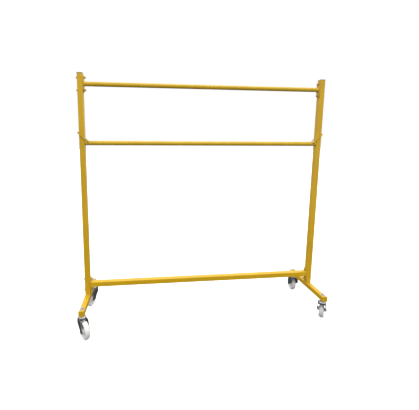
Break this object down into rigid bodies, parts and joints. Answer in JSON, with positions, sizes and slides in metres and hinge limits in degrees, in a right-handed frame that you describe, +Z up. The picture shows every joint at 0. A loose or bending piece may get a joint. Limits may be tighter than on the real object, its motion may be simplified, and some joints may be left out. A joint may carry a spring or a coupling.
{
  "type": "rolling rack",
  "caption": "Rolling rack with square posts, a bolted top bar and bottom rail, a lift bar held by slanted rod loops, and swivel casters.",
  "frame": {"origin": "floor level, midway between the posts, in the plane of the posts", "axes": "+X along the bars to the right post, +Y to the rear, +Z up"},
  "size_m": [1.9995, 0.5915, 1.915],
  "materials": {
    "tube_paint": "yellow gloss paint on square steel tube",
    "bar_paint": "yellow gloss paint on round steel tube",
    "bracket_paint": "yellow gloss paint on flat steel and rod",
    "nut_paint": "yellow paint over steel nuts, thin at the corners",
    "fastener_zinc": "bright zinc plating",
    "swivel_zinc": "bright zinc plating with a faint blue passivation",
    "fork_steel": "dark zinc plating on stamped steel",
    "cap_plastic": "black moulded plastic",
    "wheel_nylon": "white moulded nylon, slightly worn"
  },
  "bodies": {
    "rack_frame": {"left_post": "tube_paint", "right_post": "tube_paint", "left_post_cap": "cap_plastic", "right_post_cap": "cap_plastic", "left_foot": "tube_paint", "right_foot": "tube_paint", "bottom_rail": "tube_paint", "top_bar": "bar_paint", "left_foot_front_plate": "tube_paint", "left_foot_rear_plate": "tube_paint", "right_foot_front_plate": "tube_paint", "right_foot_rear_plate": "tube_paint", "bottom_rail_left_flange": "bracket_paint", "bottom_rail_left_upper_bolt": "fastener_zinc", "bottom_rail_left_upper_nut": "nut_paint", "bottom_rail_left_lower_bolt": "fastener_zinc", "bottom_rail_left_lower_nut": "nut_paint", "bottom_rail_right_flange": "bracket_paint", "bottom_rail_right_upper_bolt": "fastener_zinc", "bottom_rail_right_upper_nut": "nut_paint", "bottom_rail_right_lower_bolt": "fastener_zinc", "bottom_rail_right_lower_nut": "nut_paint", "top_bar_left_flange": "bracket_paint", "top_bar_left_upper_bolt": "fastener_zinc", "top_bar_left_upper_nut": "nut_paint", "top_bar_left_lower_bolt": "fastener_zinc", "top_bar_left_lower_nut": "nut_paint", "top_bar_right_flange": "bracket_paint", "top_bar_right_upper_bolt": "fastener_zinc", "top_bar_right_upper_nut": "nut_paint", "top_bar_right_lower_bolt": "fastener_zinc", "top_bar_right_lower_nut": "nut_paint", "caster_fl_head": "swivel_zinc", "caster_fl_stem_nut": "fastener_zinc", "caster_fr_head": "swivel_zinc", "caster_fr_stem_nut": "fastener_zinc", "caster_rl_head": "swivel_zinc", "caster_rl_stem_nut": "fastener_zinc", "caster_rr_head": "swivel_zinc", "caster_rr_stem_nut": "fastener_zinc"},
    "lift_bar": {"lift_bar": "bar_paint", "lift_bar_left_loop": "bracket_paint", "lift_bar_right_loop": "bracket_paint"},
    "caster_fl_swivel": {"caster_fl_fork": "fork_steel", "caster_fl_axle_bolt": "fastener_zinc", "caster_fl_axle_nut": "fastener_zinc"},
    "caster_fl_roller": {"caster_fl_wheel": "wheel_nylon"},
    "caster_fr_swivel": {"caster_fr_fork": "fork_steel", "caster_fr_axle_bolt": "fastener_zinc", "caster_fr_axle_nut": "fastener_zinc"},
    "caster_fr_roller": {"caster_fr_wheel": "wheel_nylon"},
    "caster_rl_swivel": {"caster_rl_fork": "fork_steel", "caster_rl_axle_bolt": "fastener_zinc", "caster_rl_axle_nut": "fastener_zinc"},
    "caster_rl_roller": {"caster_rl_wheel": "wheel_nylon"},
    "caster_rr_swivel": {"caster_rr_fork": "fork_steel", "caster_rr_axle_bolt": "fastener_zinc", "caster_rr_axle_nut": "fastener_zinc"},
    "caster_rr_roller": {"caster_rr_wheel": "wheel_nylon"}
  },
  "joints": [
    {"name": "lift_bar_height", "type": "slide", "parent": "rack_frame", "child": "lift_bar", "axis": [0, 0, 1], "range_m": [-0.98, 0.28]},
    {"name": "caster_fl_turn", "type": "hinge", "parent": "rack_frame", "child": "caster_fl_swivel", "pos_m": [-0.9375, -0.199, 0.15], "axis": [0, 0, 1], "continuous": true},
    {"name": "caster_fl_roll", "type": "hinge", "parent": "caster_fl_swivel", "child": "caster_fl_roller", "pos_m": [-0.91513, -0.23216, 0.0625], "axis": [0.829, 0.5592, 0], "continuous": true},
    {"name": "caster_fr_turn", "type": "hinge", "parent": "rack_frame", "child": "caster_fr_swivel", "pos_m": [0.9375, -0.199, 0.15], "axis": [0, 0, 1], "continuous": true},
    {"name": "caster_fr_roll", "type": "hinge", "parent": "caster_fr_swivel", "child": "caster_fr_roller", "pos_m": [0.96213, -0.16748, 0.0625], "axis": [-0.788, 0.6157, 0], "continuous": true},
    {"name": "caster_rl_turn", "type": "hinge", "parent": "rack_frame", "child": "caster_rl_swivel", "pos_m": [-0.9375, 0.199, 0.15], "axis": [0, 0, 1], "continuous": true},
    {"name": "caster_rl_roll", "type": "hinge", "parent": "caster_rl_swivel", "child": "caster_rl_roller", "pos_m": [-0.95183, 0.16166, 0.0625], "axis": [0.9336, -0.3584, 0], "continuous": true},
    {"name": "caster_rr_turn", "type": "hinge", "parent": "rack_frame", "child": "caster_rr_swivel", "pos_m": [0.9375, 0.199, 0.15], "axis": [0, 0, 1], "continuous": true},
    {"name": "caster_rr_roll", "type": "hinge", "parent": "caster_rr_swivel", "child": "caster_rr_roller", "pos_m": [0.94376, 0.23851, 0.0625], "axis": [-0.9877, 0.1564, 0], "continuous": true}
  ]
}
